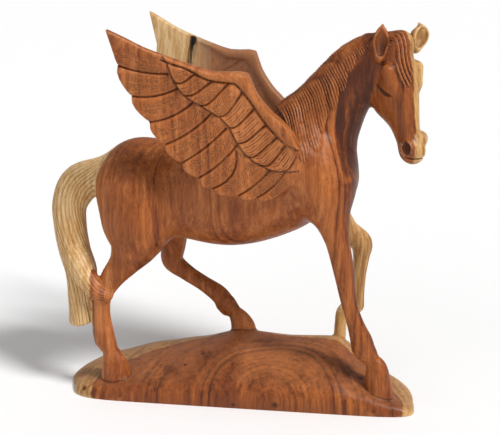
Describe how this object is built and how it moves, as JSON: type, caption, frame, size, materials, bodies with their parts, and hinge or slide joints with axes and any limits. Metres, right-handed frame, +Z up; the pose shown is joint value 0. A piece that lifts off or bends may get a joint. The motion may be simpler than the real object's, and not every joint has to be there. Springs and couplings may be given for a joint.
{
  "type": "winged horse carving",
  "caption": "Hand-carved hardwood winged horse walking over a low mound, horse and mound in one piece.",
  "frame": {"origin": "centre of the mound's flat underside, below the horse's trunk", "axes": "+X the way the horse walks, +Y to the horse's left, +Z up"},
  "size_m": [0.3722, 0.1668, 0.3821],
  "materials": {
    "wood": "satin waxed reddish heartwood, with pale yellow sapwood on the tail, the left foreleg and the mound's edges"
  },
  "bodies": {
    "root": {"winged_horse": "wood"}
  },
  "joints": []
}
